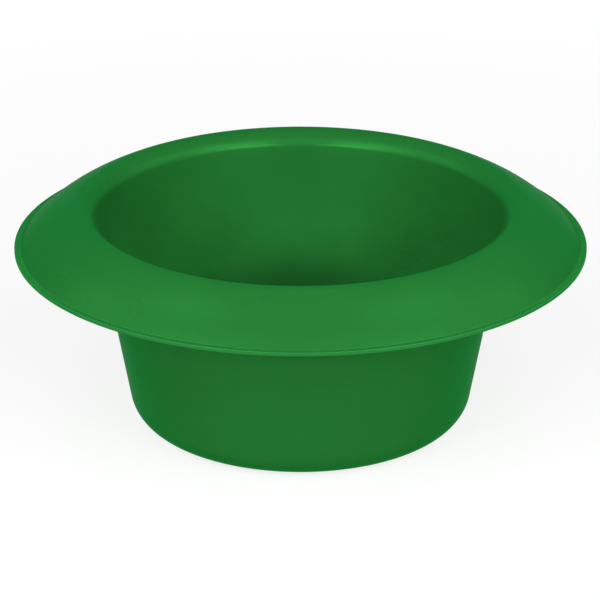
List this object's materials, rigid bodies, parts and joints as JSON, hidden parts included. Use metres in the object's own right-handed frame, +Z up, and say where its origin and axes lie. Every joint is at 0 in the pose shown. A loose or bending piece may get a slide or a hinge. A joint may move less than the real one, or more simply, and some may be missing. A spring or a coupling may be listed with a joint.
{
  "type": "feed tub",
  "caption": "Round tapered rubber feed tub with a flat base, a rolled mouth and a wide domed brim that droops to a flat lip, for feeding livestock from the ground or from a ring.",
  "frame": {"origin": "middle of the flat underside, on the ground", "axes": "+Z up along the tub's axis; X and Y are level, and the picture looks along +Y"},
  "size_m": [0.4998, 0.4998, 0.1985],
  "materials": {
    "green_rubber": "smooth satin, moulded in mid green"
  },
  "bodies": {
    "root": {"base": "green_rubber", "heel": "green_rubber", "side_wall": "green_rubber", "shoulder": "green_rubber", "brim": "green_rubber", "lip": "green_rubber"}
  },
  "joints": []
}
